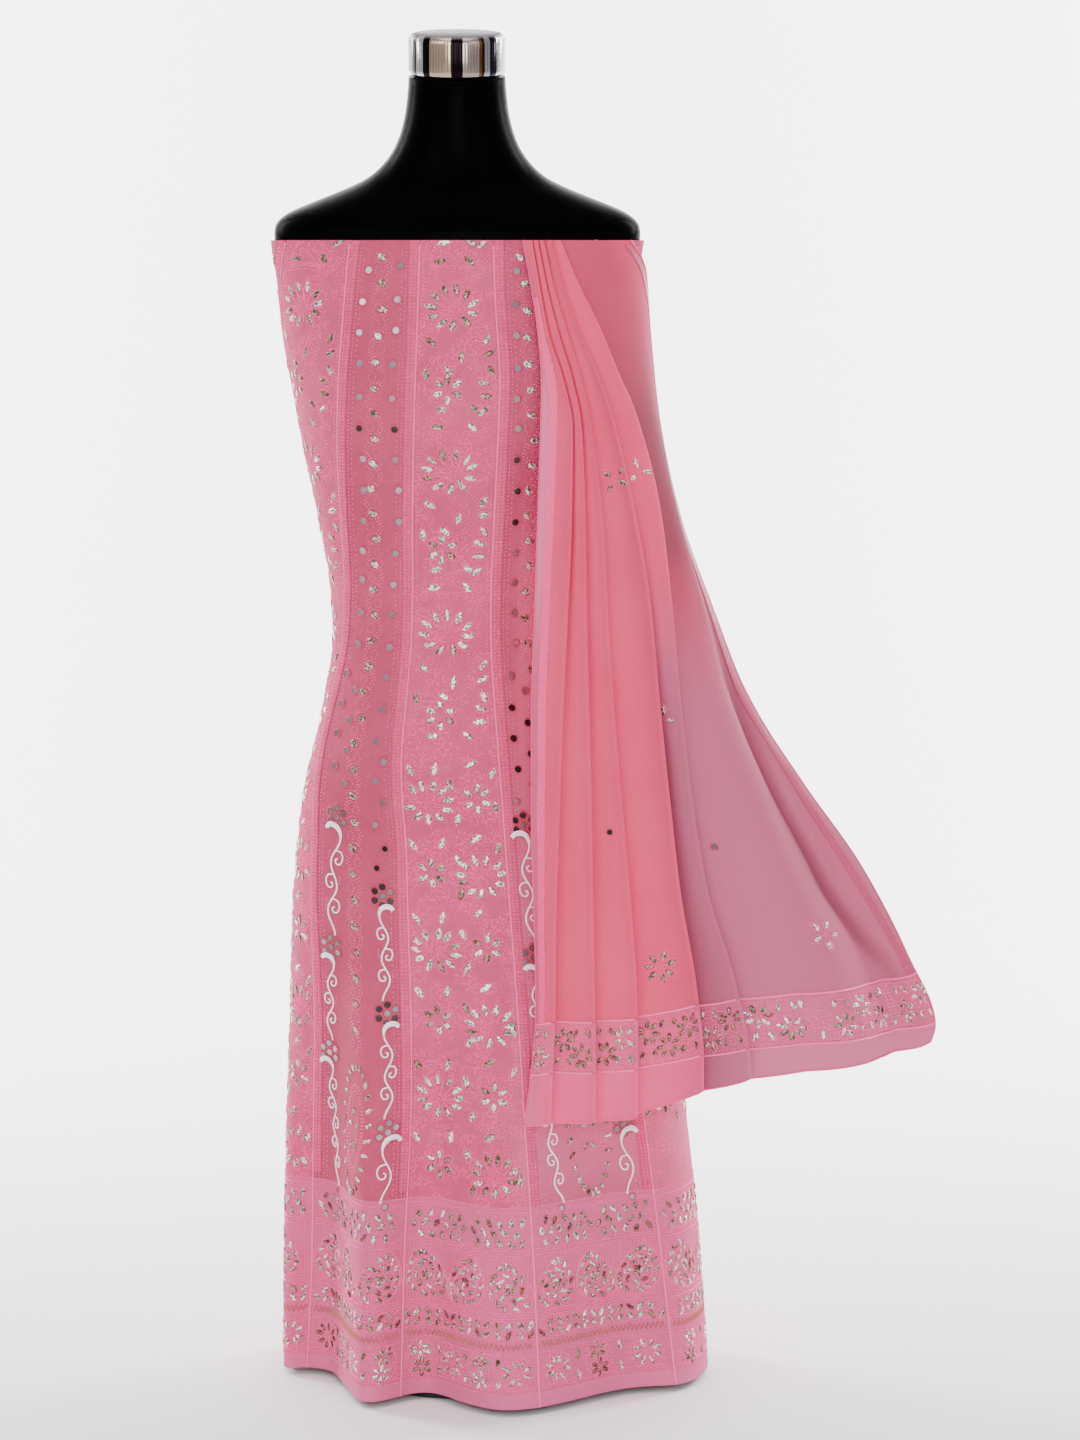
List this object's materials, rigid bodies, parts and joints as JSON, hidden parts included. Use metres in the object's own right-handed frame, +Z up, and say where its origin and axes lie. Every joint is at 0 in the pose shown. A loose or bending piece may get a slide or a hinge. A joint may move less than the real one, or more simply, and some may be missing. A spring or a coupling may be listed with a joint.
{
  "type": "anarkali kurta set on a dress form",
  "caption": "Flared embroidered kurta of stitched panels wrapped as a tube round a limbless dress form, with a pleated dupatta hanging from its upper edge.",
  "frame": {"origin": "centre of the underside of the form's round base, on the floor", "axes": "+Z up along the form's pole, front of the kurta towards -Y, the dupatta hangs on the +X side"},
  "size_m": [0.7005, 0.3471, 1.4385],
  "materials": {
    "kurta_vine_georgette": "pink georgette with tone-on-tone thread work and silver gota leaves",
    "kurta_mirror_georgette": "pink georgette with thread work, round mirrors and white scroll cords",
    "dupatta_georgette": "sheer pink georgette",
    "dupatta_band": "embroidered georgette band",
    "dupatta_lace": "stitched edge lace",
    "form_black_gloss": "black gloss shell",
    "form_chrome": "polished",
    "form_dark_steel": "black satin"
  },
  "bodies": {
    "root": {"kali_back_left": "kurta_vine_georgette", "kali_rear_left": "kurta_mirror_georgette", "kali_side_left": "kurta_vine_georgette", "kali_front_left": "kurta_mirror_georgette", "kali_front_centre": "kurta_vine_georgette", "kali_front_right": "kurta_mirror_georgette", "kali_side_right": "kurta_vine_georgette", "kali_rear_right": "kurta_mirror_georgette", "kali_back_right": "kurta_vine_georgette", "kali_back_centre": "kurta_mirror_georgette", "dupatta_cloth": "dupatta_georgette", "dupatta_end_band": "dupatta_band", "dupatta_hem_strip": "dupatta_georgette", "dupatta_lace_left": "dupatta_lace", "dupatta_lace_right": "dupatta_lace", "form_torso": "form_black_gloss", "form_neck_cap": "form_chrome", "form_pole": "form_dark_steel", "form_base": "form_dark_steel"}
  },
  "joints": []
}
